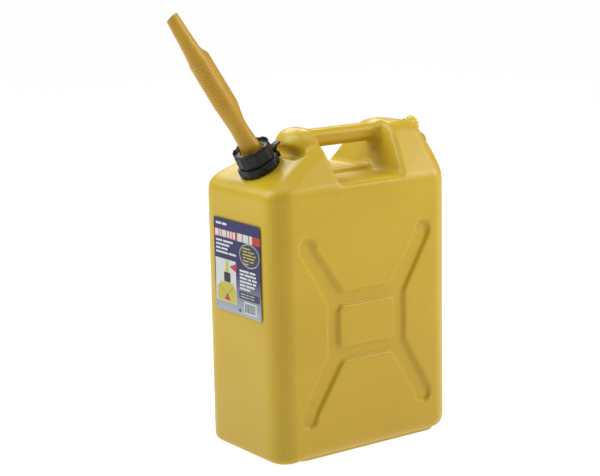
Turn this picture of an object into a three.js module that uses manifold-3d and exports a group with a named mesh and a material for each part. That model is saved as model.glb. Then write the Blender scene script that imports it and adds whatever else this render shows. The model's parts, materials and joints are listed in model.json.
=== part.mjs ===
// A 20 litre plastic fuel can with a screw-on pouring spout and a rear vent cap.
// Millimetres, +Z up. The origin is the centre of the base, on the surface it stands on.
// The spout end faces -Y, the vent end faces +Y, and the broad faces look along X.
import * as THREE from 'three';
import { mergeVertices } from 'three/addons/utils/BufferGeometryUtils.js';
import Module from 'manifold-3d';

const wasm = await Module();
wasm.setup();

// ---- driving dimensions ----
const width = 186; // over the broad faces
const length = 310; // front face to rear face
const cornerRadius = 33; // of the upright corners
const wall = 3;
const topHeight = 455; // crest of the carrying handle's two humps
const shoulderHeight = 384; // where the upright faces end
const footHeight = 3; // the base pad below the rounded bottom edge

const neckTilt = 26; // degrees, forward from upright
const neckSpot = { y: -112.4, z: 405 }; // where the neck's axis leaves the front slope
const neckRadius = 21;
const neckBore = 17;
const neckHeight = 24;

const ventTilt = 69; // degrees, backward from upright
const ventSpot = { y: 146, z: 438 };
const ventRadius = 9;
const ventBore = 6;
const ventHeight = 12;

const spoutBend = 7; // degrees that the tube leans past the neck
const spoutPivot = 34; // height of the bend above the front slope
const spoutLength = 222;
const mouthSlant = 0.6; // the mouth's rise for each millimetre across towards +X
const spoutWall = 2;

const gap = 0.3; // between touching pieces

const colours = {
  can: new THREE.Color(0.80, 0.66, 0.10),
  spout: new THREE.Color(0.80, 0.56, 0.12),
  black: new THREE.Color(0.03, 0.03, 0.035),
  rubber: new THREE.Color(0.05, 0.05, 0.05),
  label: new THREE.Color(0.08, 0.09, 0.35),
};

// ---- placing and joining ----
const radians = THREE.MathUtils.degToRad;

function frameAt(y, z, tilt) {
  return new THREE.Matrix4().makeTranslation(0, y, z).multiply(new THREE.Matrix4().makeRotationX(radians(tilt)));
}

const neckFrame = frameAt(neckSpot.y, neckSpot.z, neckTilt);
const ventFrame = frameAt(ventSpot.y, ventSpot.z, -ventTilt);
const spoutFrame = neckFrame.clone()
  .multiply(new THREE.Matrix4().makeTranslation(0, 0, spoutPivot))
  .multiply(new THREE.Matrix4().makeRotationX(radians(spoutBend)));

function solid(geometry, frame = new THREE.Matrix4()) {
  let plain = geometry.clone().applyMatrix4(frame);
  for (const name of Object.keys(plain.attributes)) {
    if (name !== 'position') plain.deleteAttribute(name);
  }
  plain = mergeVertices(plain, 1e-4);
  return new wasm.Manifold(new wasm.Mesh({
    numProp: 3,
    vertProperties: new Float32Array(plain.attributes.position.array),
    triVerts: new Uint32Array(plain.index.array),
  }));
}

function toMesh(name, body, color, roughness) {
  const { vertProperties, triVerts } = body.getMesh();
  const geometry = new THREE.BufferGeometry();
  geometry.setAttribute('position', new THREE.BufferAttribute(new Float32Array(vertProperties), 3));
  geometry.setIndex(new THREE.BufferAttribute(new Uint32Array(triVerts), 1));
  geometry.computeVertexNormals();
  const mesh = new THREE.Mesh(geometry, new THREE.MeshStandardMaterial({ color, roughness, metalness: 0 }));
  mesh.name = name;
  return mesh;
}

const joined = (...bodies) => bodies.reduce((sum, body) => sum.add(body));

// ---- outlines ----
// A closed counter-clockwise outline. Each corner is [u, v, radius] and its rounding is an arc.
function outline(corners) {
  const path = new THREE.Shape();
  corners.forEach(([u, v, radius = 0], i) => {
    const corner = new THREE.Vector2(u, v);
    const before = new THREE.Vector2(...corners.at(i - 1)).sub(corner).normalize();
    const after = new THREE.Vector2(...corners[(i + 1) % corners.length]).sub(corner).normalize();
    const half = Math.acos(before.dot(after)) / 2;
    if (radius === 0) {
      if (i === 0) path.moveTo(u, v);
      else path.lineTo(u, v);
      return;
    }
    const reach = radius / Math.tan(half);
    const centre = before.clone().add(after).setLength(radius / Math.sin(half)).add(corner);
    const from = before.clone().multiplyScalar(reach).add(corner).sub(centre);
    const to = after.clone().multiplyScalar(reach).add(corner).sub(centre);
    path.absarc(centre.x, centre.y, radius, from.angle(), to.angle(), before.cross(after) > 0);
  });
  path.closePath();
  return path;
}

// The same outline moved inwards. Outer corners get sharper and inner corners rounder.
function insetBy(corners, distance) {
  return corners.map(([u, v, radius = 0], i) => {
    const corner = new THREE.Vector2(u, v);
    const along = corner.clone().sub(new THREE.Vector2(...corners.at(i - 1))).normalize();
    const onward = new THREE.Vector2(...corners[(i + 1) % corners.length]).sub(corner).normalize();
    const inward = new THREE.Vector2(-along.y - onward.y, along.x + onward.x);
    inward.multiplyScalar(distance / (1 + along.dot(onward)));
    const turn = along.cross(onward) > 0 ? -distance : distance;
    return [u + inward.x, v + inward.y, Math.max(radius + turn, 0.5)];
  });
}

const mirrored = (corners) => corners.concat(corners.map(([u, v, radius]) => [-u, v, radius]).reverse());

// ---- extrusions ----
const alongAxes = {
  x: new THREE.Matrix4().makeBasis(
    new THREE.Vector3(0, 1, 0), new THREE.Vector3(0, 0, 1), new THREE.Vector3(1, 0, 0)),
  y: new THREE.Matrix4().makeBasis(
    new THREE.Vector3(1, 0, 0), new THREE.Vector3(0, 0, 1), new THREE.Vector3(0, -1, 0)),
  z: new THREE.Matrix4(),
};

// Extrudes a shape along an axis. The shape is drawn in (y, z), (x, z) or (x, y).
function extruded(shape, axis, from, to, frame = new THREE.Matrix4(), curveSegments = 3) {
  const depth = to - from;
  const geometry = new THREE.ExtrudeGeometry(shape, { depth, bevelEnabled: false, curveSegments });
  geometry.translate(0, 0, axis === 'y' ? -to : from);
  return solid(geometry, frame.clone().multiply(alongAxes[axis]));
}

// Turns a closed profile of [radius, height] points about its frame's own Z axis.
function turned(points, frame, segments = 32) {
  const profile = points.map(([radius, height]) => new THREE.Vector2(radius, height));
  profile.push(profile[0].clone());
  return solid(new THREE.LatheGeometry(profile, segments).rotateX(Math.PI / 2), frame);
}

const disc = (radius, from, to, frame, segments) =>
  turned([[0, from], [radius, from], [radius, to], [0, to]], frame, segments);

const ball = (radius, height, frame) =>
  solid(new THREE.SphereGeometry(radius, 24, 12).translate(0, 0, height), frame);

// ---- the blow-moulded can ----
const slope = Math.tan(radians(neckTilt));
const slopeHeight = (y) => neckSpot.z + (y - neckSpot.y) * slope;
const halfLength = length / 2;
const halfWidth = width / 2;

// Side view, drawn in (y, z): front slope, front hump, hand gap, rear hump, vent face.
const handGap = { front: -41, rear: 70, floor: 387 };
const sideCorners = [
  [-halfLength, footHeight, 24],
  [halfLength, footHeight, 16],
  [halfLength, shoulderHeight + 4, 16],
  [152, 422, 10],
  [142, topHeight - 5, 6],
  [112, topHeight, 30],
  [90, topHeight - 2, 12],
  [handGap.rear, handGap.floor, 10],
  [handGap.front, handGap.floor + 1, 5],
  [handGap.front, topHeight - 3, 7],
  [-60, topHeight - 2, 10],
  [-84, slopeHeight(-84), 14],
  [-halfLength, slopeHeight(-halfLength), 12],
];

// Front view, drawn in (x, z): the roof leans in from the shoulders to a rounded crest.
const roofFoot = { halfWidth: 88, height: shoulderHeight + 5 };
const crestHalfWidth = 34;
const frontCorners = [
  [halfWidth, footHeight, 16],
  [halfWidth, shoulderHeight, 10],
  [roofFoot.halfWidth, roofFoot.height, 8],
  [crestHalfWidth, topHeight, 18],
  [-crestHalfWidth, topHeight, 18],
  [-roofFoot.halfWidth, roofFoot.height, 8],
  [-halfWidth, shoulderHeight, 10],
  [-halfWidth, footHeight, 16],
];

const planCorners = [
  [halfWidth, -halfLength, cornerRadius],
  [halfWidth, halfLength, cornerRadius],
  [-halfWidth, halfLength, cornerRadius],
  [-halfWidth, -halfLength, cornerRadius],
];

// The plan prism whose long sides lean in with the roof, so the upright corners stay round up to the crest.
function roofPrism(inset) {
  const rise = topHeight - roofFoot.height;
  const lean = roofFoot.halfWidth - crestHalfWidth;
  const shape = outline(insetBy(planCorners, inset));
  const geometry = new THREE.ExtrudeGeometry(shape, { depth: rise, bevelEnabled: false, curveSegments: 3 });
  const place = geometry.attributes.position;
  for (let i = 0; i < place.count; i += 1) {
    if (place.getZ(i) > rise / 2) place.setX(i, place.getX(i) - Math.sign(place.getX(i)) * lean);
  }
  return solid(geometry.translate(0, 0, roofFoot.height));
}

function canForm(inset) {
  const side = extruded(outline(insetBy(sideCorners, inset)), 'x', -halfWidth - 1, halfWidth + 1);
  const front = extruded(outline(insetBy(frontCorners, inset)), 'y', -halfLength - 1, halfLength + 1);
  const plan = extruded(outline(insetBy(planCorners, inset)), 'z', -1, roofFoot.height);
  return plan.add(roofPrism(inset)).intersect(side).intersect(front);
}

// The grip between the humps, drawn in (x, z).
const grip = { halfWidth: 15, bottom: 427, top: 452, from: -52, to: 100, radius: 10 };
function gripBar(inset) {
  const section = [
    [grip.halfWidth, grip.bottom, grip.radius],
    [grip.halfWidth, grip.top, grip.radius],
    [-grip.halfWidth, grip.top, grip.radius],
    [-grip.halfWidth, grip.bottom, grip.radius],
  ];
  return extruded(outline(insetBy(section, inset)), 'y', grip.from, grip.to);
}

// The X-shaped channel pressed into each broad face, drawn in (y, z), round a raised panel.
const channelDepth = 4;
const channelCorners = (() => {
  const rightHalf = [
    [41.4, 137, 10], [88, 66, 20], [88, 50.5, 13], [114.5, 50.5, 13], [114.5, 70, 20], [68, 150, 18],
    [68, 222, 18], [114.5, 300, 20], [114.5, 319.5, 13], [88, 319.5, 13], [88, 304, 20], [41.2, 236.7, 10],
  ];
  return mirrored(rightHalf);
})();
const panelCorners = [[48, 157, 8], [48, 215.6, 8], [-48, 215.6, 8], [-48, 157, 8]];

function channels(depth, spread) {
  const shape = outline(insetBy(channelCorners, -spread));
  shape.holes.push(outline(insetBy(panelCorners, spread)));
  const near = extruded(shape, 'x', halfWidth - depth, halfWidth + 2, undefined, 2);
  const far = extruded(shape, 'x', -halfWidth - 2, -halfWidth + depth, undefined, 2);
  return near.add(far);
}

function canShell() {
  const foot = outline([[80, -118, 20], [80, 138, 20], [-80, 138, 20], [-80, -118, 20]]);
  const outer = joined(
    canForm(0).subtract(channels(channelDepth, 0)),
    gripBar(0),
    extruded(foot, 'z', 0, footHeight + 1),
    disc(neckRadius + 3, -10, 1.5, neckFrame),
    disc(neckRadius, -10, neckHeight, neckFrame),
    disc(ventRadius + 2.5, -6, 1.5, ventFrame, 24),
    disc(ventRadius, -6, ventHeight, ventFrame, 24),
  );
  const hollow = joined(
    canForm(wall).subtract(channels(channelDepth + wall, wall)),
    gripBar(wall),
    disc(neckBore, -14, neckHeight + 1, neckFrame),
    disc(ventBore, -14, ventHeight + 1, ventFrame, 24),
  );
  return outer.subtract(hollow);
}

// The moulding is drawn as two solids that meet just above the floor of the hand gap.
const moulding = canShell();
const splitHeight = handGap.floor + 1.5;

const wellClear = 200; // further out than any point of the moulding
function canLayer(from, to) {
  const everything = outline([
    [wellClear, -wellClear], [wellClear, wellClear], [-wellClear, wellClear], [-wellClear, -wellClear],
  ]);
  return moulding.intersect(extruded(everything, 'z', from, to));
}

// ---- spout and collar on the neck ----
const flange = { radius: 20.6, bottom: neckHeight + 2.6, top: neckHeight + 5.6 };
const gasket = { inner: neckBore + 0.4, outer: neckRadius - 0.4 };

function spoutGasket() {
  const { inner, outer } = gasket;
  const bottom = neckHeight + gap;
  const top = flange.bottom - gap;
  return turned([[inner, bottom], [outer, bottom], [outer, top], [inner, top]], neckFrame);
}

// Height along the tube and its outer radius there.
const spoutProfile = [[0, 14], [35, 12.2], [75, 14.2], [150, 13.6], [163, 11.5], [185, 10], [spoutLength + 6, 8.2]];
const vaneHalfWidth = 5.5;

function spoutTube() {
  const tube = spoutProfile.map(([height, radius]) => [radius, height]);
  const bore = spoutProfile.map(([height, radius]) => [radius - spoutWall, height]);
  const root = [[0, flange.bottom], [flange.radius, flange.bottom], [flange.radius, flange.top],
    [16.2, flange.top], [14.4, spoutPivot], [0, spoutPivot]];
  const vane = outline([[6, 42], [12, 42], [17.4, 78], [17.4, 152], [12, 163], [6, 163]]);
  const outer = joined(
    turned(root, neckFrame),
    ball(14.2, spoutPivot, neckFrame),
    turned([[0, 0], ...tube, [0, tube.at(-1)[1]]], spoutFrame),
    extruded(vane, 'x', -vaneHalfWidth, vaneHalfWidth, spoutFrame),
  );
  const inner = joined(
    disc(12, flange.bottom - 1, spoutPivot, neckFrame),
    ball(12, spoutPivot, neckFrame),
    turned([[0, 0], ...bore, [0, tube.at(-1)[1]]], spoutFrame),
  );
  const reach = 20;
  const rise = reach * mouthSlant;
  const mouth = outline([
    [-reach, spoutLength - rise], [reach, spoutLength + rise],
    [reach, spoutLength + 2 * rise], [-reach, spoutLength + 2 * rise],
  ]);
  return outer.subtract(inner)
    .subtract(disc(20, 0, flange.bottom, neckFrame))
    .subtract(extruded(mouth, 'y', -reach, reach, spoutFrame));
}

const collar = { bottom: 13.6, top: 36.8, radius: 25.6, bore: 22.6, mouth: 17.2 };
const collarTeeth = 8;

function around(count, make) {
  return joined(...Array.from({ length: count }, (_, i) => make(new THREE.Matrix4()
    .makeRotationZ((i + 0.5) / count * 2 * Math.PI))));
}

function screwCollar() {
  const under = flange.top + gap;
  const rim = collar.top - 3.6;
  const ring = turned([
    [collar.bore, collar.bottom], [collar.radius, collar.bottom], [collar.radius, rim],
    [27.4, collar.top], [25, collar.top], [23.4, rim - 0.6], [collar.mouth, rim - 0.6],
    [collar.mouth, under], [collar.bore, under],
  ], neckFrame);
  const pad = outline([[24.5, -5.5], [26.8, -4.8], [26.8, 4.8], [24.5, 5.5]]);
  const pads = around(collarTeeth, (turn) =>
    extruded(pad, 'z', collar.bottom + 2, rim - 1, neckFrame.clone().multiply(turn)));
  const slot = outline([[22, -2.6], [30, -2.6], [30, 2.6], [22, 2.6]]);
  const half = new THREE.Matrix4().makeRotationZ(Math.PI / collarTeeth);
  const slots = around(collarTeeth, (turn) =>
    extruded(slot, 'z', rim + 1, collar.top + 1, neckFrame.clone().multiply(turn).multiply(half)));
  return ring.add(pads).subtract(slots);
}

const lockRing = { inner: neckRadius + gap, radius: 29, bottom: 1.8, top: 12.6 };
const tabHinge = { y: 31.6, z: 7 };
const tabHalfWidth = 6;

function lockRingBody() {
  const { inner, radius, bottom, top } = lockRing;
  const ring = turned([
    [inner + 3.2, bottom], [radius, bottom], [radius, top - 3], [radius - 3, top], [inner, top], [inner, bottom + 3.2],
  ], neckFrame, 24);
  const lug = outline([[27, -4], [30.6, -3], [30.6, 3], [27, 4]]);
  const lugs = around(6, (turn) => extruded(lug, 'z', bottom, bottom + 6, neckFrame.clone().multiply(turn)));
  const ear = outline([[26, bottom], [33.8, bottom], [34.4, 10, 2.6], [29, 10.6], [26, 10.6]]);
  const ears = joined(
    extruded(ear, 'x', tabHalfWidth + 0.4, tabHalfWidth + 2.6, neckFrame),
    extruded(ear, 'x', -tabHalfWidth - 2.6, -tabHalfWidth - 0.4, neckFrame),
  );
  const window = outline([[28.6, 0], [40, 0], [40, 20], [28.6, 20]]);
  const room = extruded(window, 'x', -tabHalfWidth - 0.4, tabHalfWidth + 0.4, neckFrame);
  return joined(ring, lugs, ears).subtract(room).subtract(tabAxle(1.9, tabHalfWidth + 3));
}

function tabAxle(radius, reach) {
  const circle = new THREE.Shape().absarc(tabHinge.y, tabHinge.z, radius, 0, 2 * Math.PI);
  return extruded(circle, 'x', -reach, reach, neckFrame, 6);
}

function lockTab() {
  const lever = outline([
    [29.8, 3.6, 0.8], [33.2, 3.6, 1], [33.4, 13], [36, 16.4, 3], [43.6, 17.4, 0.8], [43.2, 19.6, 0.8],
    [34, 19.4, 3], [29.6, 17.6], [27.4, 16.6], [27.4, 15], [29.6, 13.4],
  ]);
  return extruded(lever, 'x', -tabHalfWidth, tabHalfWidth, neckFrame, 2).add(tabAxle(1.5, tabHalfWidth + 2.4));
}

// ---- vent cap and its tether ----
const cap = { radius: 12.6, bottom: 5.6, top: 17.6 };

function ventCap() {
  const inside = ventRadius + 0.6;
  const roof = cap.top - 2.6;
  return turned([
    [inside, cap.bottom], [cap.radius, cap.bottom], [cap.radius, cap.top - 1.4],
    [cap.radius - 1.4, cap.top], [0, cap.top], [0, roof], [inside, roof],
  ], ventFrame, 32);
}

function ventLiner() {
  return disc(ventRadius, ventHeight + gap, cap.top - 2.6 - gap, ventFrame, 28);
}

// The strap's middle line in the plane x = 0, from the cap's collar down to its stud.
const strapRoute = [[153.4, 427.8], [157.5, 425], [165, 425.5], [174, 424.5], [181, 418], [182.5, 409], [177, 400], [168, 395], [158.5, 394]];
const strapStud = { z: 394, radius: 3 };

function ventTether() {
  const route = new THREE.CatmullRomCurve3(strapRoute.map(([y, z]) => new THREE.Vector3(0, y, z)));
  const section = outline([[3, -0.9], [3, 0.9], [-3, 0.9], [-3, -0.9]]);
  const strap = solid(new THREE.ExtrudeGeometry(section, { steps: 28, extrudePath: route }));
  const hole = ventRadius + 0.5;
  const rim = hole + 3.2;
  const ring = turned([[hole, 2.4], [rim, 2.4], [rim, 4.8], [hole, 4.8]], ventFrame, 32);
  return joined(ring, strap);
}

function strapStudBody() {
  const stem = new THREE.Shape().absarc(0, strapStud.z, strapStud.radius, 0, 2 * Math.PI);
  return extruded(stem, 'y', 155 + gap, 157.4, undefined, 6);
}

// ---- label on the front face ----
const label = { halfWidth: 57, bottom: 204.5, top: 336.5, thickness: 0.3 };

function frontLabel() {
  const shape = outline([
    [label.halfWidth, label.bottom, 3], [label.halfWidth, label.top, 3],
    [-label.halfWidth, label.top, 3], [-label.halfWidth, label.bottom, 3],
  ]);
  const back = -halfLength - 0.1;
  return extruded(shape, 'y', back - label.thickness, back);
}

const fuelCan = new THREE.Group();
fuelCan.add(
  toMesh('can_tank', canLayer(-wellClear, splitHeight - gap / 2), colours.can, 0.45),
  toMesh('can_top', canLayer(splitHeight + gap / 2, topHeight + wellClear), colours.can, 0.45),
  toMesh('lock_ring', lockRingBody(), colours.black, 0.4),
  toMesh('lock_tab', lockTab(), colours.black, 0.4),
  toMesh('spout_gasket', spoutGasket(), colours.rubber, 0.8),
  toMesh('spout_tube', spoutTube(), colours.spout, 0.4),
  toMesh('screw_collar', screwCollar(), colours.black, 0.4),
  toMesh('vent_tether', ventTether(), colours.can, 0.5),
  toMesh('tether_stud', strapStudBody(), colours.can, 0.5),
  toMesh('vent_liner', ventLiner(), colours.rubber, 0.8),
  toMesh('vent_cap', ventCap(), colours.can, 0.45),
  toMesh('front_label', frontLabel(), colours.label, 0.5),
);

export default fuelCan;
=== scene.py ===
"""The looks of a 20 litre plastic fuel can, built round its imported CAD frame.

Shapes are worked out in millimetres and turned into metres when a mesh is made.
The can, the black pieces on its neck and the vent cap are fields of signed distance, meshed on a grid.
"""
import json
import math

import bpy
import numpy as np
from mathutils import Matrix, Vector


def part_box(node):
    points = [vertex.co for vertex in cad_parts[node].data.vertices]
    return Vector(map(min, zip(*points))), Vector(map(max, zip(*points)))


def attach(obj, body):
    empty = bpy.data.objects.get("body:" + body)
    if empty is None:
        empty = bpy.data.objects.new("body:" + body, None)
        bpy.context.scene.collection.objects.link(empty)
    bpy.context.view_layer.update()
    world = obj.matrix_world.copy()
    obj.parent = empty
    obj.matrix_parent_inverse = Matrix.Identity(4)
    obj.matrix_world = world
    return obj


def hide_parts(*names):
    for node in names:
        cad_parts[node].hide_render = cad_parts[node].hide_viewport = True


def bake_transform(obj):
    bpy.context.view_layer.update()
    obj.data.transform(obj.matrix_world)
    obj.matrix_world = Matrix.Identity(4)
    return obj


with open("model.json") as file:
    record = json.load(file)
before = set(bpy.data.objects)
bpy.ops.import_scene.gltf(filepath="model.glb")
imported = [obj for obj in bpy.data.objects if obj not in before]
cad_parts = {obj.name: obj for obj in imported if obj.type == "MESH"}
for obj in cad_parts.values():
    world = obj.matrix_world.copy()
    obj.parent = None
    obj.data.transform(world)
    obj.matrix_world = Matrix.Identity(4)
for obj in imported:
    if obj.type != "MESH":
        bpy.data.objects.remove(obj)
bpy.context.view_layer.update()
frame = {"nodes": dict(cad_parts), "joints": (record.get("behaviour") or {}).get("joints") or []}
MM = 0.001


def direction(azimuth, elevation):
    """A unit vector from the can, that many degrees round it (0 is -Y) and above it."""
    a, e = math.radians(azimuth), math.radians(elevation)
    return Vector((math.sin(a) * math.cos(e), -math.cos(a) * math.cos(e), math.sin(e)))


def placed(name, data):
    """A new object in the scene that shows `data`."""
    thing = bpy.data.objects.new(name, data)
    bpy.context.scene.collection.objects.link(thing)
    return thing


# ---- camera ----
CAMERA_AZIMUTH = 53.53      # degrees round the can, 0 looks along +Y
CAMERA_ELEVATION = 13.42
CAMERA_ROLL = -0.895
CAMERA_DISTANCE = 2.450
CAMERA_LENS = 101.94        # mm, on a sensor 36 mm wide
CAN_MIDDLE = Vector((0, 0, 0.2178))
AIM_RIGHT, AIM_UP = -0.0401, 0.0730   # from the can's middle to the middle of the picture


def make_camera():
    back = direction(CAMERA_AZIMUTH, CAMERA_ELEVATION)
    place = CAN_MIDDLE + back * CAMERA_DISTANCE
    level = Vector((0, 0, 1)).cross(back).normalized()
    roll = Matrix.Rotation(math.radians(CAMERA_ROLL), 3, back)
    right = roll @ level
    up = roll @ back.cross(level)
    sight = (place - CAN_MIDDLE - right * AIM_RIGHT - up * AIM_UP).normalized()
    right = up.cross(sight).normalized()
    data = bpy.data.cameras.new("camera")
    data.lens = CAMERA_LENS
    data.sensor_width = 36
    data.clip_end = 100
    camera = placed("camera", data)
    turn = Matrix((right, sight.cross(right), sight)).transposed().to_4x4()
    camera.matrix_world = Matrix.Translation(place) @ turn
    bpy.context.scene.camera = camera


# ---- outlines and fields ----
STRAIGHT = 1.55      # a corner whose half angle is over this, in radians, is taken as straight


def rounded(corners, steps=8):
    """Points of a closed counter-clockwise outline. Each corner is (u, v, radius)."""
    points = []
    for i, (u, v, radius) in enumerate(corners):
        corner = np.array((u, v))
        before = np.array(corners[i - 1][:2]) - corner
        after = np.array(corners[(i + 1) % len(corners)][:2]) - corner
        before, after = before / np.linalg.norm(before), after / np.linalg.norm(after)
        half = math.acos(float(before @ after)) / 2
        if radius == 0 or half > STRAIGHT:
            points.append(corner)
            continue
        middle = (before + after) / np.linalg.norm(before + after)
        centre = corner + middle * radius / math.sin(half)
        start = corner + before * radius / math.tan(half) - centre
        end = corner + after * radius / math.tan(half) - centre
        sweep = math.atan2(start[0] * end[1] - start[1] * end[0], float(start @ end))
        for t in np.linspace(0, sweep, steps + 1):
            c, s = math.cos(t), math.sin(t)
            points.append(centre + (start[0] * c - start[1] * s, start[0] * s + start[1] * c))
    return np.array(points)


def outline_distance(u, v, points):
    """Signed distance in the plane, negative inside the outline."""
    nearest, inside = np.inf, False
    for (u0, v0), (u1, v1) in zip(points, np.roll(points, -1, axis=0)):
        du, dv = u1 - u0, v1 - v0
        if du * du + dv * dv < 1e-12:
            continue
        t = np.clip(((u - u0) * du + (v - v0) * dv) / (du * du + dv * dv), 0, 1)
        nearest = np.minimum(nearest, (u - u0 - t * du) ** 2 + (v - v0 - t * dv) ** 2)
        if dv != 0:
            inside = inside ^ (((v0 > v) != (v1 > v)) & (u < du * (v - v0) / dv + u0))
    return np.where(inside, -1, 1) * np.sqrt(nearest)


def box_distance(u, v, half_u, half_v, radius):
    du = np.abs(u) - half_u + radius
    dv = np.abs(v) - half_v + radius
    outside = np.hypot(np.maximum(du, 0), np.maximum(dv, 0))
    return outside + np.minimum(np.maximum(du, dv), 0) - radius


def smooth_max(a, b, blend):
    """Where two fields meet, with the edge rounded over about blend millimetres."""
    overlap = np.maximum(blend - np.abs(a - b), 0) / blend
    return np.maximum(a, b) + overlap * overlap * blend / 4


def smooth_min(a, b, blend):
    return -smooth_max(-a, -b, blend)


def smooth_step(t):
    t = np.clip(t, 0, 1)
    return t * t * (3 - 2 * t)


# ---- meshing a field ----
CUBE = np.array([(i, j, k) for i in (0, 1) for j in (0, 1) for k in (0, 1)])
CUBE_EDGES = [(a, b) for a in range(8) for b in range(a + 1, 8) if abs(CUBE[a] - CUBE[b]).sum() == 1]


def cell_points(values, cells):
    """The mean of the points where the surface crosses each cell's edges, in grid units."""
    corner = [values[tuple((cells + c).T)] for c in CUBE]
    total, count = np.zeros((len(cells), 3)), np.zeros(len(cells))
    for a, b in CUBE_EDGES:
        crossed = (corner[a] < 0) != (corner[b] < 0)
        share = np.where(crossed, corner[a] / np.where(crossed, corner[a] - corner[b], 1), 0)
        total += crossed[:, None] * (CUBE[a] + share[:, None] * (CUBE[b] - CUBE[a]))
        count += crossed
    return cells + total / count[:, None]


def cell_quads(inside, number):
    """One quad round every grid edge that the surface crosses, facing out."""
    quads = []
    for axis in range(3):
        one, two = (axis + 1) % 3, (axis + 2) % 3
        first = np.take(inside, range(inside.shape[axis] - 1), axis)
        last = np.take(inside, range(1, inside.shape[axis]), axis)
        edges = np.argwhere(first != last)
        edges = edges[(edges[:, one] > 0) & (edges[:, two] > 0)]
        edges = edges[(edges[:, one] < number.shape[one]) & (edges[:, two] < number.shape[two])]
        step_one, step_two = np.eye(3, dtype=int)[one], np.eye(3, dtype=int)[two]
        ring = [edges - step_one - step_two, edges - step_two, edges, edges - step_one]
        quad = np.stack([number[tuple(r.T)] for r in ring], axis=1)
        outward = first[tuple(edges.T)]
        quads.append(np.where(outward[:, None], quad, quad[:, ::-1]))
    return np.concatenate(quads)


def relaxed(points, quads):
    """Each point moved half-way to the mean of its neighbours."""
    total, count = np.zeros_like(points), np.zeros(len(points))
    for side in range(4):
        here, there = quads[:, side], quads[:, (side + 1) % 4]
        for a, b in ((here, there), (there, here)):
            count += np.bincount(a, minlength=len(points))
            for axis in range(3):
                total[:, axis] += np.bincount(a, points[b, axis], minlength=len(points))
    return (points + total / count[:, None]) / 2


def settled(points, field, step):
    """Points moved onto the field's surface along its slope."""
    x, y, z = points.T
    here, reach = field(x, y, z), step * 0.05
    slope = np.stack([
        field(x + reach, y, z) - here, field(x, y + reach, z) - here, field(x, y, z + reach) - here,
    ], axis=1) / reach
    slope /= np.maximum((slope * slope).sum(axis=1), 0.05)[:, None]
    points = points - slope * np.clip(here, -step, step)[:, None]
    here = field(*points.T)
    return points - slope * np.clip(here, -step / 2, step / 2)[:, None]


def field_mesh(field, low, high, step):
    """Points and quads of the surface where the field is zero, between two corners."""
    axes = [np.arange(a - 1.5 * step, b + 2 * step, step) for a, b in zip(low, high)]
    shape = [len(a) for a in axes]
    values = np.array(np.broadcast_to(field(*np.ix_(*axes)), shape))
    inside = values < 0
    corners = sum(
        inside[i:shape[0] - 1 + i, j:shape[1] - 1 + j, k:shape[2] - 1 + k].astype(np.int8)
        for i, j, k in CUBE
    )
    cells = np.argwhere((corners > 0) & (corners < 8))
    number = np.full(corners.shape, -1, dtype=np.int64)
    number[tuple(cells.T)] = np.arange(len(cells))
    points = cell_points(values, cells) * step + [a[0] for a in axes]
    quads = cell_quads(inside, number)
    for _ in range(2):
        points = settled(relaxed(points, quads), field, step)
    return points, quads


def add_mesh(name, points, faces, place=Matrix.Identity(4)):
    """A smooth-shaded object from points in millimetres in the frame `place`, which is in metres."""
    turn = np.array(place)
    points = np.asarray(points) * MM @ turn[:3, :3].T + turn[:3, 3]
    mesh = bpy.data.meshes.new(name)
    mesh.from_pydata(points.tolist(), [], faces.tolist() if isinstance(faces, np.ndarray) else faces)
    mesh.polygons.foreach_set("use_smooth", [True] * len(mesh.polygons))
    mesh.update()
    return placed(name, mesh)


# ---- the can ----
TANK_LOW, TANK_HIGH = (np.array(c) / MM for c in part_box("can_tank"))
HALF_WIDTH, HALF_LENGTH = TANK_HIGH[0] - 0.5, -TANK_LOW[1]
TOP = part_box("can_top")[1].z / MM
CORNER = 33           # radius of the upright corners
SHOULDER = 384
LEAN = 0.82           # the roof leans in this far for each millimetre up
LEAN_SHARE = 1 / math.hypot(1, LEAN)
NECK_TILT = math.radians(26)
NECK_Y, NECK_Z = -112.4, 405

# The front hump is a cone behind the neck, with a dent where its foot meets the neck's slope.
HUMP_Y = -23
HUMP_RADIUS, HUMP_LEVEL = 49, 445      # its radius at that height
HUMP_LEAN = 0.4
HUMP_SHARE = 1 / math.hypot(1, HUMP_LEAN)
HUMP_FOOT = 400
CREASE_Y, CREASE_Z = -71, 423
CREASE_RADIUS, CREASE_HALF_LENGTH = 8.5, 34

# The hand pocket, with a ridge along its floor, and the bar that the hand holds.
POCKET_FRONT, POCKET_REAR, POCKET_FLOOR = -41, 70, 386.5
POCKET_LEAN = 0.3
POCKET_SHARE = 1 / math.hypot(1, POCKET_LEAN)
RIDGE_HEIGHT, RIDGE_HALF_WIDTH = 6, 15
BAR_Y, BAR_Z = 20, 439.5
BAR_HALF_WIDTH, BAR_HALF_HEIGHT, BAR_HALF_LENGTH = 15, 12.5, 72
CHAMFER = math.sqrt(0.5)

# The base pad, and the can's lower edge, which is rounder under the broad sides than under the spout end.
FOOT = 3
FOOT_EDGE, FRONT_FOOT_EDGE = 21, 11
FRONT_FOOT_Y, FOOT_CHANGE = -95, 40
PAD_HALF_WIDTH, PAD_HALF_LENGTH, PAD_Y, PAD_CORNER = 80, 128, 10, 20
PAD_TOP = 12

CHANNEL_DEPTH = 4.6   # of the pressed channels in the broad sides
CHANNEL_SLOPE = 0.4


def slope_height(y):
    return NECK_Z + (y - NECK_Y) * math.tan(NECK_TILT)


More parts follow.
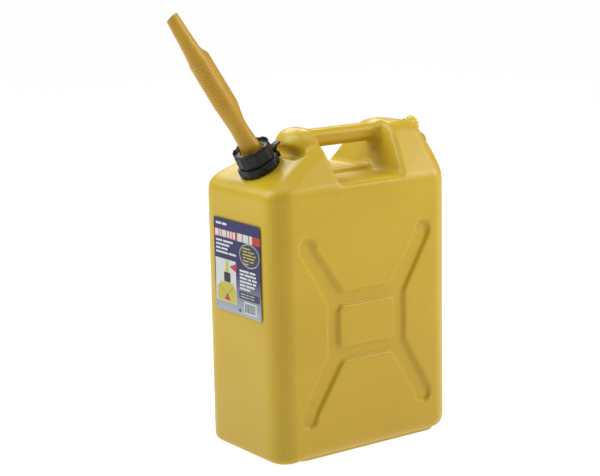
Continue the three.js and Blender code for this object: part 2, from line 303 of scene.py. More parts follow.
# The profile over the shoulder. It runs on past the upright faces, which other fields give.
SIDE = rounded([
    (-190, -60, 0), (170, -60, 0), (170, SHOULDER + 4, 0), (152, 422, 10),
    (142, TOP - 5, 6), (112, TOP, 30), (60, TOP - 3, 30),
    (POCKET_FRONT, slope_height(POCKET_FRONT), 0), (-190, slope_height(-190), 0),
])
RIGHT_CHANNEL = [
    (41.4, 137, 10), (88, 66, 20), (88, 50.5, 13), (114.5, 50.5, 13), (114.5, 70, 20), (68, 150, 18),
    (68, 222, 18), (114.5, 300, 20), (114.5, 319.5, 13), (88, 319.5, 13), (88, 304, 20), (41.2, 236.7, 10),
]
CHANNEL = rounded(RIGHT_CHANNEL + [(-y, z, r) for y, z, r in RIGHT_CHANNEL[::-1]], 5)
PANEL = rounded([(48, 157, 8), (48, 215.6, 8), (-48, 215.6, 8), (-48, 157, 8)], 5)


def shoulder_form(x, y, z):
    """The tank's walls and leaning roof, cut by the side profile, with the hump behind the neck."""
    walls = box_distance(x, y, HALF_WIDTH, HALF_LENGTH, CORNER)
    roof_half = HALF_WIDTH - 1 - (z - SHOULDER) * LEAN
    roof = box_distance(x, y, np.maximum(roof_half, CORNER), HALF_LENGTH, CORNER) * LEAN_SHARE
    hump_radius = HUMP_RADIUS - HUMP_LEAN * (z - HUMP_LEVEL)
    hump = (np.hypot(x, y - HUMP_Y) - hump_radius) * HUMP_SHARE
    hump = np.maximum(smooth_max(hump, z - TOP, 15), HUMP_FOOT - z)
    block = smooth_min(outline_distance(y, z, SIDE), hump, 8)
    form = smooth_max(smooth_max(walls, roof, 6), block, 13)
    along = np.maximum(np.abs(x) - CREASE_HALF_LENGTH, 0)
    crease = np.sqrt(along * along + (y - CREASE_Y) ** 2 + (z - CREASE_Z) ** 2) - CREASE_RADIUS
    return smooth_max(form, -crease, 9)


def pocket_form(x, y, z):
    ridge = RIDGE_HEIGHT * np.exp(-(x / RIDGE_HALF_WIDTH) ** 4)
    rear_wall = (y - POCKET_REAR - (z - POCKET_FLOOR) * POCKET_LEAN) * POCKET_SHARE
    pocket = smooth_max(POCKET_FRONT - y, rear_wall, 5)
    return smooth_max(pocket, POCKET_FLOOR + ridge - z, 9)


def bar_form(x, y, z):
    up, out = np.abs(z - BAR_Z), np.abs(x)
    section = smooth_max(out - BAR_HALF_WIDTH, up - BAR_HALF_HEIGHT, 3)
    section = smooth_max(section, (out + up) * CHAMFER - BAR_HALF_WIDTH, 2)
    return smooth_max(section, np.abs(y - BAR_Y) - BAR_HALF_LENGTH, 4)


def channel_form(x, y, z):
    groove = np.maximum(outline_distance(y, z, CHANNEL), -outline_distance(y, z, PANEL))
    groove = groove + (HALF_WIDTH - np.abs(x)) * CHANNEL_SLOPE
    return smooth_max(groove, HALF_WIDTH - CHANNEL_DEPTH - np.abs(x), 2)


def can_field(x, y, z):
    form = shoulder_form(x, y, z)
    front = smooth_step((FRONT_FOOT_Y - y) / FOOT_CHANGE)
    edge = FOOT_EDGE - (FOOT_EDGE - FRONT_FOOT_EDGE) * front
    form = smooth_max(form, FOOT - z, edge)
    form = smooth_max(form, -pocket_form(x, y, z), 6)
    form = smooth_min(form, bar_form(x, y, z), 12)
    form = smooth_max(form, -channel_form(x, y, z), 3)
    pad = box_distance(x, y - PAD_Y, PAD_HALF_WIDTH, PAD_HALF_LENGTH, PAD_CORNER)
    return smooth_min(form, smooth_max(pad, np.abs(z - PAD_TOP / 2) - PAD_TOP / 2, 2), 2)


def make_can():
    step = 2
    low = (-HALF_WIDTH - 2.5, -HALF_LENGTH - 2, -1)
    high = (HALF_WIDTH + 2.5, HALF_LENGTH + 2, TOP + 2)
    points, quads = field_mesh(can_field, low, high, step)
    can = add_mesh("can_body", points, quads)
    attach(can, "can")
    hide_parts("can_tank", "can_top")
    return can


# ---- frames of the turning parts, and swept shapes ----
def joint_place(name):
    """The frame of a hinge: its point, with Z along its axis and X across the can."""
    joint = next(j for j in frame["joints"] if j["name"] == name)
    along, across = Vector(joint["axis"]).normalized(), Vector((1, 0, 0))
    turn = Matrix((across, along.cross(across), along)).transposed().to_4x4()
    return Matrix.Translation(Vector(joint["pos_m"])) @ turn


NECK = joint_place("spout_swivel")
VENT = joint_place("vent_turn")


def ring_faces(rings, around, closed=False):
    """Quads between rings of points, with a cap at each end unless the rings close on themselves."""
    faces = []
    for i in range(rings if closed else rings - 1):
        here, there = i * around, (i + 1) % rings * around
        for j in range(around):
            k = (j + 1) % around
            faces.append((here + j, here + k, there + k, there + j))
    if not closed:
        faces.append(tuple(range(around - 1, -1, -1)))
        faces.append(tuple(range((rings - 1) * around, rings * around)))
    return faces


def turned(name, profile, place, around=96, radius_at=None):
    """A turned piece from a closed profile of (radius, height).

    radius_at(angles, radius, height) may give each point of a level its own radius.
    """
    angles = np.linspace(0, 2 * math.pi, around, endpoint=False)
    points = []
    for radius, height in profile:
        r = radius if radius_at is None else radius_at(angles, radius, height)
        points.append(np.stack([r * np.cos(angles), r * np.sin(angles), np.full(around, height)], axis=1))
    return add_mesh(name, np.concatenate(points), ring_faces(len(profile), around, closed=True), place)


# ---- neck and vent threads ----
THREAD_STEEPNESS = 7      # of the thread's flanks, in crest heights for each turn of pitch
NECK_END = 4              # how far a neck reaches down into the can


def thread(name, place, core, crest, bore, height, pitch, start):
    """A bottle neck with a helical thread round it above `start`, open down its bore."""
    levels = np.linspace(height, -NECK_END, 120)
    profile = [(bore, -NECK_END), (bore, height - 0.8), (bore + 0.8, height), (core - 0.8, height)]
    profile += [(core, level) for level in levels[2:]]

    def radius_at(angles, radius, level):
        if radius != core:
            return np.full(len(angles), float(radius))
        turn = (level / pitch - angles / (2 * math.pi)) % 1
        ridge = np.clip(1.6 - np.abs(turn - 0.5) * THREAD_STEEPNESS, 0, 1)
        inside = np.clip((height - 1.5 - level) / 1.5, 0, 1) * np.clip((level - start) / 1.5, 0, 1)
        return core + (crest - core) * ridge * inside

    neck = turned(name, profile[::-1], place, 72, radius_at)
    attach(neck, "can")
    return neck


# ---- spout ----
SPOUT_BEND = math.radians(7)
SPOUT_PIVOT = 34          # height on the neck's axis where the tube bends
SPOUT_LENGTH = 222
SPOUT_WALL = 2
MOUTH_SLANT = 0.59        # the mouth's rise for each millimetre across towards +X
FLANGE_RADIUS = 20.6
FLANGE_LOW, FLANGE_HIGH = -7.4, -4.4     # along the tube from the bend
TUBE = [
    (FLANGE_HIGH, 16.2), (0, 14.6), (10, 13.6), (35, 12.4), (75, 14.1), (148, 13.6), (154, 12.5),
    (163, 11.5), (185, 10), (SPOUT_LENGTH, 8.2),
]                         # height along the tube and its radius there
VANE_HALF_WIDTH = 5.5
VANE = [(38, 10), (70, 17.2), (152, 17.2), (166, 10.6), (SPOUT_LENGTH, 8.3)]     # height and reach
RINGS_LOW, RINGS_HIGH = 74, 153
RING_PITCH, RING_HEIGHT = 4.3, 0.6


def spout_radius(s, angles):
    """Outer radius of the tube at a height along it: round, with rings and a raised channel at the rear."""
    round_part = np.interp(s, *zip(*TUBE)) * np.ones(len(angles))
    reach = np.interp(s, *zip(*VANE))
    out, back = np.abs(np.cos(angles)), np.sin(angles)
    side = VANE_HALF_WIDTH / np.maximum(out, 0.05)
    vane = np.where(back > 0.2, np.minimum(side, reach / np.maximum(back, 0.2)), 0)
    rings = np.exp(-((((s - 76) / RING_PITCH) % 1 - 0.5) / 0.2) ** 2)
    zone = smooth_step((s - RINGS_LOW) / 4) * smooth_step((RINGS_HIGH - 2 - s) / 3)
    zone = zone * smooth_step((0.25 - back) / 0.3)
    return smooth_max(round_part, vane, 1.2) + RING_HEIGHT * rings * zone


def tube_rings(angles):
    """(height, centre y, centre z, bend, radii) of each ring: flange, outside up, inside down again."""
    heights = np.concatenate([
        np.arange(FLANGE_HIGH, RINGS_LOW - 1, 1.5), np.arange(RINGS_LOW, RINGS_HIGH, RING_PITCH / 10),
        np.arange(RINGS_HIGH + 0.5, SPOUT_LENGTH, 1.5),
    ])
    bend = SPOUT_BEND * smooth_step((heights + 6) / 12)
    steps = np.diff(heights, prepend=heights[0])
    middle_y = np.cumsum(-np.sin(bend) * steps)
    middle_z = SPOUT_PIVOT + FLANGE_HIGH + np.cumsum(np.cos(bend) * steps)
    flange = [(s, 0, SPOUT_PIVOT + s, 0, FLANGE_RADIUS) for s in (FLANGE_LOW, FLANGE_HIGH)]
    outer = [(s, y, z, b, spout_radius(s, angles)) for s, y, z, b in zip(heights, middle_y, middle_z, bend)]
    inner = [(s, y, z, b, r - SPOUT_WALL) for s, y, z, b, r in outer[::-3]]
    return flange + outer + inner


def make_spout():
    angles = np.linspace(0, 2 * math.pi, 128, endpoint=False)
    points = []
    for s, y, z, b, r in tube_rings(angles):
        across, deep = r * np.cos(angles), r * np.sin(angles)
        dip = 1.5 * np.exp(-((np.abs(across) - 4.5) / 1.1) ** 2) * (deep > 0)
        rise = (MOUTH_SLANT * across - dip) * smooth_step((s - SPOUT_LENGTH + 16) / 16)
        ring_y = y + deep * math.cos(b) - rise * math.sin(b)
        ring_z = z + deep * math.sin(b) + rise * math.cos(b)
        points.append(np.stack([across, ring_y, ring_z], axis=1))
    faces = ring_faces(len(points), len(angles), closed=True)
    spout = add_mesh("spout", np.concatenate(points), faces, NECK)
    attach(spout, "spout")
    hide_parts("spout_tube")
    return spout


# ---- collar, lock ring and tab, in the neck's frame ----
FACETS = 8
COLLAR_LOW, COLLAR_HIGH = 13.3, 36.8
COLLAR_RADIUS, COLLAR_BORE = 25.9, 22.6
COLLAR_SHELF = (29.9, 31.6)        # the web that holds the spout's flange down
SPOUT_HOLE = 17.2
CROWN_FLARE = 0.3                  # the crown's lean outwards for each millimetre up
LOCK_LOW, LOCK_HIGH = 1.8, 12.8
LOCK_RADIUS, LOCK_BORE = 29.8, 21.3
TAB_HALF = 6
EAR_THICKNESS, EAR_GAP = 2, 0.5
TAB_HINGE_Y, TAB_HINGE_Z = 31.6, 7
TAB = [
    (29.8, 3.6, 0.8), (33.2, 3.6, 1), (33.4, 13, 4), (36, 16.4, 3), (43.6, 17.4, 0.8), (43.2, 19.6, 0.8),
    (34, 19.4, 3), (29.6, 17.6, 1), (27.4, 16.6, 0.5), (27.4, 15, 0.5), (29.6, 13.4, 1),
]


def slab(value, low, high):
    return np.maximum(low - value, value - high)


def turned_by(x, y, angle):
    c, s = math.cos(angle), math.sin(angle)
    return x * c + y * s, y * c - x * s


def facet(x, y):
    """Distance out of the nearest of the equal flats round Z, and along that flat."""
    pitch = 2 * math.pi / FACETS
    angle = (np.arctan2(y, x) + pitch / 2) % pitch - pitch / 2
    radius = np.hypot(x, y)
    return radius * np.cos(angle), radius * np.sin(angle)


def collar_field(x, y, z):
    radius = np.hypot(x, y)
    out, along = facet(x, y)
    web_low, web_high = COLLAR_SHELF
    crown = np.maximum(z - 31, 0) * CROWN_FLARE
    body = smooth_max(radius - COLLAR_RADIUS - crown, out - COLLAR_RADIUS + 0.9 - crown, 1.5)
    body = smooth_max(body, slab(z, COLLAR_LOW, COLLAR_HIGH), 0.8)
    pad = smooth_max(np.abs(along) - 7.4, slab(z, COLLAR_LOW + 2.5, web_high), 1.5)
    body = smooth_min(body, smooth_max(pad, out - COLLAR_RADIUS, 0.8), 0.8)
    body = smooth_max(body, -np.maximum(radius - COLLAR_RADIUS + 1.9 - crown, web_high - z), 0.8)
    body = smooth_max(body, -np.maximum(radius - COLLAR_BORE, z - web_low), 0.6)
    body = smooth_max(body, SPOUT_HOLE - radius, 0.6)
    between, side = facet(*turned_by(x, y, math.pi / FACETS))
    notch = np.maximum(np.abs(side) - 3.2, np.maximum(COLLAR_HIGH - 1 - z, 15 - between))
    return smooth_max(body, -notch, 1.6)


def ring_field(x, y, z):
    radius = np.hypot(x, y)
    out, along = facet(x, y)
    body = smooth_max(radius - LOCK_RADIUS, out - LOCK_RADIUS + 1.4, 1.5)
    body = smooth_max(body, slab(z, LOCK_LOW, LOCK_HIGH), 1.0)
    body = smooth_max(body, (out + z) * CHAMFER - 28.2, 1)
    lug = smooth_max(np.abs(along) - 5, slab(z, LOCK_LOW, 7), 1)
    body = smooth_min(body, smooth_max(lug, out - LOCK_RADIUS - 0.2, 0.8), 0.8)
    body = smooth_max(body, LOCK_BORE - radius, 0.8)
    inside = TAB_HALF + EAR_GAP
    ear = np.maximum(slab(np.abs(x), inside, inside + EAR_THICKNESS), slab(y, 26, 33.8))
    ear_top = smooth_max(slab(z, LOCK_LOW, 10.4), np.hypot(y - 30, z - 5) - 6, 1)
    body = smooth_min(body, smooth_max(ear, ear_top, 0.8), 0.5)
    room = np.maximum(np.abs(x) - TAB_HALF - 0.4, 28.6 - y)
    return smooth_max(body, -room, 0.5)


def tab_field(x, y, z):
    out = np.abs(x) - TAB_HALF
    lever = smooth_max(outline_distance(y, z, rounded(TAB, 4)), out, 1.2)
    axle = np.maximum(np.hypot(y - TAB_HINGE_Y, z - TAB_HINGE_Z) - 1.5, out - EAR_GAP - 2.1)
    grip = smooth_max(np.hypot(y - 41.5, z - 17.1) - 0.9, out + 0.8, 0.5)
    return smooth_min(smooth_min(lever, axle, 0.4), grip, 0.6)


def make_closure():
    """The black pieces on the neck."""
    step = 0.55
    rows = [
        ("collar", collar_field, (-29, -29, 13), (29, 29, 37.5), "collar", "screw_collar"),
        ("lock_collar", ring_field, (-31, -31, 1), (31, 35, 13), "can", "lock_ring"),
        ("lock_lever", tab_field, (-9, 26, 3), (9, 45, 21), "lock_tab", "lock_tab"),
    ]
    made = []
    for name, field, low, high, body, node in rows:
        piece = add_mesh(name, *field_mesh(field, low, high, step), NECK)
        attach(piece, body)
        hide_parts(node)
        made.append(piece)
    return made


# ---- vent cap, tether and stud ----
CAP_RADIUS, CAP_LOW, CAP_HIGH = 12.6, 5.6, 17.6
CAP_BORE, CAP_ROOF = 9.6, 15
CAP_RIBS, RIB_DEPTH = 11, 2.3
DISH_RADIUS, DISH_DEPTH = 7.2, 0.7     # the shallow dish in the cap's top
STUD = Matrix.Translation((0, 0.1552, 0.394)) @ Matrix.Rotation(math.radians(-90), 4, "X")
STRAP_HALF_WIDTH, STRAP_HALF_THICKNESS = 2.9, 0.75
STRAP_ROUTE = [
    (153.4, 427.8), (157.5, 426), (165, 428), (175, 427), (181.4, 420), (182.5, 410),
    (177, 400), (168, 395), (158.5, 394),
]                                      # (y, z) from the ring under the cap down to the stud


def cap_field(x, y, z):
    radius, angle = np.hypot(x, y), np.arctan2(y, x)
    ribs = np.abs(np.cos(angle * CAP_RIBS / 2)) ** 0.7
    skirt = radius - CAP_RADIUS + RIB_DEPTH * (1 - ribs)
    plain = radius - CAP_RADIUS + 1.4
    body = np.where(z > CAP_HIGH - 2.4, np.maximum(plain, skirt), skirt)
    body = smooth_max(body, slab(z, CAP_LOW, CAP_HIGH), 2)
    body = smooth_max(body, -np.maximum(radius - CAP_BORE, z - CAP_ROOF), 0.6)
    return smooth_max(body, -np.maximum(radius - DISH_RADIUS, CAP_HIGH - DISH_DEPTH - z), 0.8)


def make_cap():
    step = 0.45
    cap = add_mesh("ribbed_vent_cap", *field_mesh(cap_field, (-13, -13, 5), (13, 13, 18), step), VENT)
    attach(cap, "vent_cap")
    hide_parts("vent_cap")
    return cap


def curve_through(points, steps):
    """Evenly shared points on the Catmull-Rom curve through the given ones, and their directions."""
    ends = [2 * np.array(points[i]) - points[j] for i, j in ((0, 1), (-1, -2))]
    p = np.array([ends[0], *points, ends[1]], float)
    t = np.linspace(0, len(points) - 1, steps)
    i = np.minimum(t.astype(int), len(points) - 2)
    u = (t - i)[:, None]
    a, b, c, d = p[i], p[i + 1], p[i + 2], p[i + 3]
    one, two, three = c - a, 2 * a - 5 * b + 4 * c - d, 3 * b - a - 3 * c + d
    place = 0.5 * (2 * b + one * u + two * u ** 2 + three * u ** 3)
    slope = 0.5 * (one + 2 * two * u + 3 * three * u ** 2)
    return place, slope / np.linalg.norm(slope, axis=1)[:, None]


def make_tether():
    place, slope = curve_through(STRAP_ROUTE, 90)
    w, h = STRAP_HALF_WIDTH, STRAP_HALF_THICKNESS
    section = rounded([(w, -h, 0.6), (w, h, 0.6), (-w, h, 0.6), (-w, -h, 0.6)], 4)
    points = [
        (across, y - dz * thick, z + dy * thick)
        for (y, z), (dy, dz) in zip(place, slope) for across, thick in section
    ]
    strap = add_mesh("tether_strap", points, ring_faces(len(place), len(section)))
    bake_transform(strap)
    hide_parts("vent_tether")
    ring = rounded([(9.5, 2.5, 0.5), (12.7, 2.5, 0.6), (12.7, 4.7, 0.6), (9.5, 4.7, 0.5)], 4)
    loop = turned("tether_loop", ring, VENT)
    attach(loop, "tether")
    stud = turned("tether_button", [(0.01, 0), (3, 0), (3, 1.2), (2.4, 1.9), (0.01, 2.1)], STUD)
    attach(stud, "can")
    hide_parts("tether_stud")
    return strap, loop, stud


# ---- label ----
LABEL_LOW, LABEL_HIGH = (np.array(c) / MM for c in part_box("front_label"))
LABEL_WIDTH, LABEL_HEIGHT = LABEL_HIGH[0] - LABEL_LOW[0], LABEL_HIGH[2] - LABEL_LOW[2]
INK = 0.06      # how far one layer of print stands in front of the last


def bar(left, top, right, bottom, radius=0.6):
    """A rounded block of print. Sides are shares of the label, from its top left corner."""
    w, h = LABEL_WIDTH, LABEL_HEIGHT
    corners = [(left * w, top * h), (right * w, top * h), (right * w, bottom * h), (left * w, bottom * h)]
    radius = min(radius, (right - left) * w / 2.1, (bottom - top) * h / 2.1)
    return rounded([(u, v, radius) for u, v in corners], 3)


def patch(*corners, radius=0.8):
    """A rounded shape of print through corners given as shares of the label."""
    return rounded([(u * LABEL_WIDTH, v * LABEL_HEIGHT, radius) for u, v in corners], 3)


def disc_outline(u, v, radius, squash=1.0, sides=40):
    """A disc of print with its middle at (u, v), as shares of the label, and a radius in millimetres."""
    angles = np.linspace(0, 2 * math.pi, sides, endpoint=False)
    across, down = radius * np.cos(angles), squash * radius * np.sin(angles)
    return np.stack([u * LABEL_WIDTH + across, v * LABEL_HEIGHT + down], axis=1)


WORD_SPACE, BAR_SPACE = 0.018, 0.010


def word_rows(left, right, top, pitch, height, widths):
    """Rows of short blocks that stand for lines of small print."""
    shapes = []
    for row, words in enumerate(widths):
        u, v = left, top + row * pitch
        for width in words:
            end = min(u + width, right)
            if end > u:
                shapes.append(bar(u, v, end, v + height, 0.5))
            u += width + WORD_SPACE
    return shapes


def can_picture():
    """(ink, layer, outline) of the label's small drawing: a can, its spout and two marks."""
    return [
        ("white", 1, bar(0.02, 0.435, 0.47, 0.90, 0.6)),
        ("yellow", 2, patch((0.245, 0.44), (0.305, 0.44), (0.312, 0.60), (0.238, 0.60))),
        ("black", 3, bar(0.205, 0.575, 0.345, 0.68, 1.5)),
        ("yellow", 2, patch(
            (0.05, 0.75), (0.14, 0.685), (0.40, 0.685), (0.455, 0.75), (0.455, 0.895), (0.05, 0.895),
            radius=1.2)),
        ("ochre", 3, patch((0.10, 0.735), (0.118, 0.725), (0.25, 0.81), (0.24, 0.82), radius=0.3)),
        ("ochre", 3, patch((0.385, 0.725), (0.40, 0.735), (0.27, 0.82), (0.26, 0.81), radius=0.3)),
        ("red", 3, patch((0.34, 0.875), (0.20, 0.875), (0.27, 0.80), radius=0.6)),
        ("red", 4, patch((0.33, 0.505), (0.49, 0.455), (0.49, 0.555), radius=0.6)),
    ]


def bar_pattern(left, top, bottom):
    shapes, u = [], left
    for width in (0.014, 0.006, 0.010, 0.018, 0.006, 0.012, 0.006, 0.016, 0.010, 0.006, 0.014):
        shapes.append(bar(u, top, u + width, bottom, 0.1))
        u += width + BAR_SPACE
    return shapes


def label_shapes():
    """(ink, layer, outline) for every printed shape."""
    shapes = [("field", 0, bar(0, 0, 1, 1, 3))]

    def draw(ink, layer, *outlines):
        shapes.extend((ink, layer, outline) for outline in outlines)

    draw("white", 1, *word_rows(0.05, 0.9, 0.045, 0.04, 0.026, [(0.12, 0.10)]))
    draw("red", 1, bar(0, 0.118, 1, 0.205, 0.3))
    draw("white", 2, *word_rows(0.03, 0.97, 0.125, 1, 0.072, [(0.08, 0.03, 0.10, 0.05, 0.04, 0.05)]))
    draw("white", 2, *word_rows(0.52, 0.97, 0.118, 1, 0.086, [(0.10, 0.12, 0.06)]))
    draw("white", 1, *word_rows(0.04, 0.53, 0.232, 0.042, 0.022, [
        (0.14, 0.22), (0.30,), (0.10, 0.14), (0.26, 0.16)]))
    draw("pale", 1, disc_outline(0.77, 0.335, 24.5, 0.7))
    draw("dark", 2, disc_outline(0.77, 0.335, 23, 0.67))
    draw("yellow", 3, *word_rows(0.63, 0.92, 0.255, 0.033, 0.013, [
        (0.16,), (0.10, 0.12), (0.20, 0.06), (0.06, 0.17), (0.13, 0.08), (0.12,)]))
    shapes.extend(can_picture())
    draw("white", 1, *word_rows(0.55, 0.96, 0.50, 0.038, 0.023, [
        (0.20, 0.12), (0.09, 0.24), (0.15, 0.08, 0.10), (0.26, 0.07), (0.12, 0.18), (0.22,)]))
    draw("dark", 1, bar(0.53, 0.735, 0.97, 0.815, 0.6))
    draw("pale", 2, *word_rows(0.56, 0.93, 0.752, 0.03, 0.014, [(0.11, 0.05, 0.10), (0.20, 0.08)]))
    draw("white", 1, bar(0.63, 0.835, 0.90, 0.965, 0.8))
    draw("black", 1, disc_outline(0.54, 0.945, 2.4))
    draw("black", 2, *bar_pattern(0.65, 0.85, 0.95))
    return shapes


def make_label():
    """Print as thin layers, with one generic shape for each block of colour."""
    shapes = label_shapes()
    inks = list(dict.fromkeys(ink for ink, _, _ in shapes))
    points, faces, ink_numbers = [], [], []
    for ink, layer, outline in shapes:
        front = LABEL_HIGH[1] - 0.05 - layer * INK
        faces.append(tuple(range(len(points), len(points) + len(outline))))
        points += [(LABEL_LOW[0] + u, front, LABEL_HIGH[2] - v) for u, v in outline[::-1]]
        ink_numbers.append(inks.index(ink))
    label = add_mesh("label_print", points, faces)
    give(label, *(label_ink(ink) for ink in inks))
    label.data.polygons.foreach_set("material_index", ink_numbers)
    label.data.polygons.foreach_set("use_smooth", [False] * len(faces))
    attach(label, "can")
    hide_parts("front_label")
    return label


# ---- materials ----
class Surface:
    """A Principled material and the few node chains that the plastics share."""

    def __init__(self, name, roughness=0.4):
        self.material = bpy.data.materials.new(name)
        self.material.use_nodes = True
        self.tree = self.material.node_tree
        self.shader = self.tree.nodes["Principled BSDF"]
        self.shader.inputs["Roughness"].default_value = roughness
        self.place = self.node("ShaderNodeTexCoord").outputs["Object"]

    def node(self, kind, inputs=(), **settings):
        node = self.tree.nodes.new(kind)
        for key, value in settings.items():
            setattr(node, key, value)
        for key, value in dict(inputs).items():
            if isinstance(value, bpy.types.NodeSocket):
                self.tree.links.new(value, node.inputs[key])
            else:
                node.inputs[key].default_value = value
        return node

    def noise(self, size_mm, detail=2, stretch=(1, 1, 1)):
        """A soft random value from 0 to 1 that changes over about size_mm."""
        spread = self.node("ShaderNodeMapping", {"Vector": self.place, "Scale": stretch})
        texture = {"Vector": spread.outputs["Vector"], "Scale": 1 / (size_mm * MM), "Detail": detail}
        return self.node("ShaderNodeTexNoise", texture).outputs["Fac"]

    def height(self):
        """Height over the floor, in metres."""
        return self.node("ShaderNodeSeparateXYZ", {"Vector": self.place}).outputs["Z"]

    def between(self, value, low, high, out_low=0.0, out_high=1.0):
        """value carried from low..high to out_low..out_high, and held there."""
        inputs = {"Value": value, "From Min": low, "From Max": high, "To Min": out_low, "To Max": out_high}
        return self.node("ShaderNodeMapRange", inputs).outputs["Result"]

    def mix(self, share, one, two):
        inputs = {0: share, 6: one, 7: two}      # the factor and the two colours
        return self.node("ShaderNodeMix", inputs, data_type="RGBA").outputs[2]

    def bump(self, height_mm, value, below=None):
        inputs = {"Height": value, "Distance": height_mm * MM, "Strength": 1.0}
        if below is not None:
            inputs["Normal"] = below
        return self.node("ShaderNodeBump", inputs).outputs["Normal"]

    def mottle(self, size_mm, detail, one, two):
        """A tone that wanders softly between two colours."""
        return self.mix(self.between(self.noise(size_mm, detail), 0.3, 0.7), (*one, 1), (*two, 1))

    def polish(self, size_mm, detail, low, high):
        """Roughness that wanders between two values."""
        self.set("Roughness", self.between(self.noise(size_mm, detail), 0.3, 0.7, low, high))

    def set(self, socket, value):
        if isinstance(value, bpy.types.NodeSocket):
            self.tree.links.new(value, self.shader.inputs[socket])
        else:
            self.shader.inputs[socket].default_value = value


def give(piece, *surfaces):
    piece.data.materials.clear()
    for surface in surfaces:
        piece.data.materials.append(surface.material)


INK_COLOURS = {
    "field": (0.013, 0.010, 0.105), "white": (0.58, 0.58, 0.62), "red": (0.44, 0.025, 0.03),
    "yellow": (0.52, 0.42, 0.05), "pale": (0.36, 0.36, 0.30), "ochre": (0.40, 0.28, 0.03),
    "black": (0.015, 0.015, 0.02), "dark": (0.03, 0.028, 0.075),
}


def label_ink(ink):
    """Glossy printed film with a faint dot grain. The field fades to grey low down."""
    s = Surface("label_" + ink, 0.32)
    colour = (*INK_COLOURS[ink], 1)
    if ink == "field":
        low, high = LABEL_LOW[2] * MM, LABEL_HIGH[2] * MM
        fade = s.between(s.height(), low + 0.02 * (high - low), low + 0.42 * (high - low))
        colour = s.mix(fade, (0.40, 0.42, 0.48, 1), colour)
    worn = tuple(c * 0.82 + 0.01 for c in INK_COLOURS[ink]) + (1,)
    grain = s.between(s.noise(2.5, 3), 0.35, 0.7, 0, 0.3)
    s.set("Base Color", s.mix(grain, colour, worn))
    s.polish(18, 2, 0.3, 0.42)
    s.set("Specular IOR Level", 0.3)
    s.set("Normal", s.bump(0.12, s.noise(22, 1), s.bump(0.01, s.noise(0.7, 1))))
    return s


def can_plastic():
    """Blow-moulded polyethylene: long soft waves, a fine sandy skin and a slightly uneven colour,
    with painted shade that darkens it towards the foot."""
    s = Surface("can_plastic")
    tone = s.mottle(120, 3, (0.54, 0.345, 0.014), (0.585, 0.39, 0.018))
    tone = s.mix(s.between(s.noise(9, 4), 0.35, 0.75, 0, 0.25), tone, (0.49, 0.31, 0.014, 1))
    # Painted shade: the base colour darkens over the lowest 0.3 m towards the foot.
    s.set("Base Color", s.mix(s.between(s.height(), 0.30, 0.02, 0, 0.55), tone, (0.46, 0.29, 0.012, 1)))
    s.polish(40, 3, 0.33, 0.42)
    s.set("Specular IOR Level", 0.4)
    waves = s.bump(0.5, s.noise(45, 1))
    s.set("Normal", s.bump(0.035, s.noise(1.1, 2), waves))
    return s


def spout_plastic():
    """Injection-moulded polyethylene, deeper in colour, with faint flow lines along the tube."""
    s = Surface("spout_plastic")
    flow = s.noise(14, 3, (1, 1, 0.15))
    s.set("Base Color", s.mix(s.between(flow, 0.3, 0.7), (0.46, 0.245, 0.013, 1), (0.50, 0.285, 0.015, 1)))
    s.polish(25, 2, 0.36, 0.46)
    s.set("Specular IOR Level", 0.35)
    s.set("Normal", s.bump(0.06, flow))
    return s


def black_plastic():
    """Black moulded plastic with a fine spark-eroded grain."""
    s = Surface("collar_plastic")
    s.set("Base Color", s.mottle(6, 4, (0.006, 0.006, 0.008), (0.012, 0.012, 0.015)))
    s.polish(5, 3, 0.34, 0.48)
    s.set("Specular IOR Level", 0.3)
    s.set("Normal", s.bump(0.03, s.noise(0.5, 2)))
    return s


def cap_plastic():
    """Paler yellow polyethylene with a fine grain."""
    s = Surface("cap_plastic")
    s.set("Base Color", s.mottle(11, 3, (0.66, 0.47, 0.055), (0.72, 0.53, 0.07)))
    s.polish(8, 2, 0.34, 0.44)
    s.set("Normal", s.bump(0.02, s.noise(0.8, 2)))
    return s


def strap_plastic():
    """The tether's duller, greenish polyethylene."""
    s = Surface("strap_plastic", 0.45)
    s.set("Base Color", s.mottle(7, 3, (0.42, 0.40, 0.16), (0.50, 0.46, 0.19)))
    s.set("Normal", s.bump(0.02, s.noise(0.8, 2)))
    return s


def rubber():
    s = Surface("seal_rubber", 0.75)
    s.set("Base Color", s.mix(s.noise(3, 3), (0.012, 0.012, 0.012, 1), (0.03, 0.03, 0.03, 1)))
    s.set("Normal", s.bump(0.03, s.noise(0.6, 2)))
    return s


# ---- studio ----
FLOOR_HALF_WIDTH = 40     # metres, past the edge of any view
FLOOR_GLOW = 0.90         # makes the floor white up to the horizon
FLOOR_DROP = 0.2          # mm under the can's base


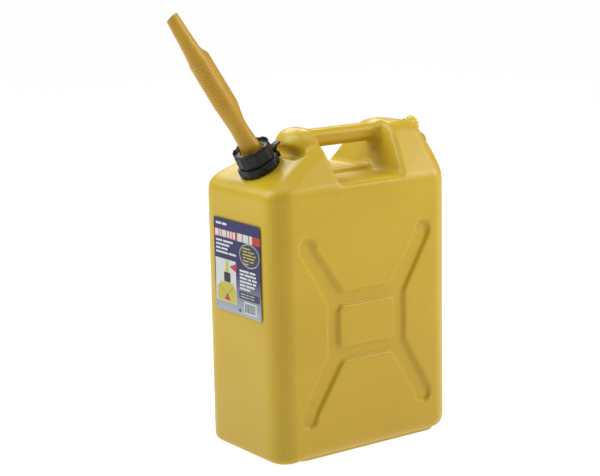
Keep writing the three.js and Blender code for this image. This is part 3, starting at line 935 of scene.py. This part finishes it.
def softbox(name, azimuth, elevation, distance, width, height, power, colour=(1, 1, 1)):
    """A lit panel that faces the can."""
    back = direction(azimuth, elevation)
    data = bpy.data.lights.new(name, "AREA")
    data.shape = "RECTANGLE"
    data.size, data.size_y = width, height
    data.energy, data.color = power, colour
    light = placed(name, data)
    light.location = CAN_MIDDLE + back * distance
    light.rotation_euler = back.to_track_quat("Z", "Y").to_euler()


def make_floor():
    s = Surface("floor", 0.6)
    s.set("Base Color", s.mix(s.noise(900, 2), (0.30, 0.30, 0.30, 1), (0.34, 0.34, 0.34, 1)))
    s.set("Emission Color", (1, 1, 1, 1))
    s.set("Emission Strength", FLOOR_GLOW)
    size = FLOOR_HALF_WIDTH / MM
    corners = [(x * size, y * size, -FLOOR_DROP) for x, y in ((-1, -1), (1, -1), (1, 1), (-1, 1))]
    floor = add_mesh("floor", corners, [(0, 1, 2, 3)])
    give(floor, s)


def make_studio():
    scene = bpy.context.scene
    scene.view_settings.view_transform = "Standard"
    scene.world = bpy.data.worlds.new("studio")
    scene.world.use_nodes = True
    background = scene.world.node_tree.nodes["Background"]
    background.inputs["Color"].default_value = (0.97, 0.98, 1, 1)
    background.inputs["Strength"].default_value = 0.22
    softbox("left_softbox", -40, 44, 1.8, 0.9, 1.1, 22, (0.88, 1, 0.80))
    softbox("right_softbox", 150, 30, 2.2, 0.9, 1.3, 31, (1, 0.99, 0.92))
    softbox("top_softbox", 60, 80, 2.0, 1.4, 1.0, 12)
    softbox("back_softbox", -112, 40, 2.4, 1.5, 0.9, 21)
    make_floor()


# ---- everything in its place ----
make_camera()
yellow, black, cap_yellow = can_plastic(), black_plastic(), cap_plastic()
give(make_can(), yellow)
give(thread("neck_thread", NECK, core=20.8, crest=22.2, bore=17, height=24, pitch=5, start=14), yellow)
give(thread("vent_thread", VENT, core=8.7, crest=9.4, bore=6, height=12, pitch=4, start=5.6), yellow)
give(make_spout(), spout_plastic())
for piece in make_closure():
    give(piece, black)
give(make_cap(), cap_yellow)
strap, loop, stud = make_tether()
give(strap, strap_plastic())
give(loop, cap_yellow)
give(stud, cap_yellow)
for node in ("spout_gasket", "vent_liner"):
    give(frame["nodes"][node], rubber())
make_label()
make_studio()
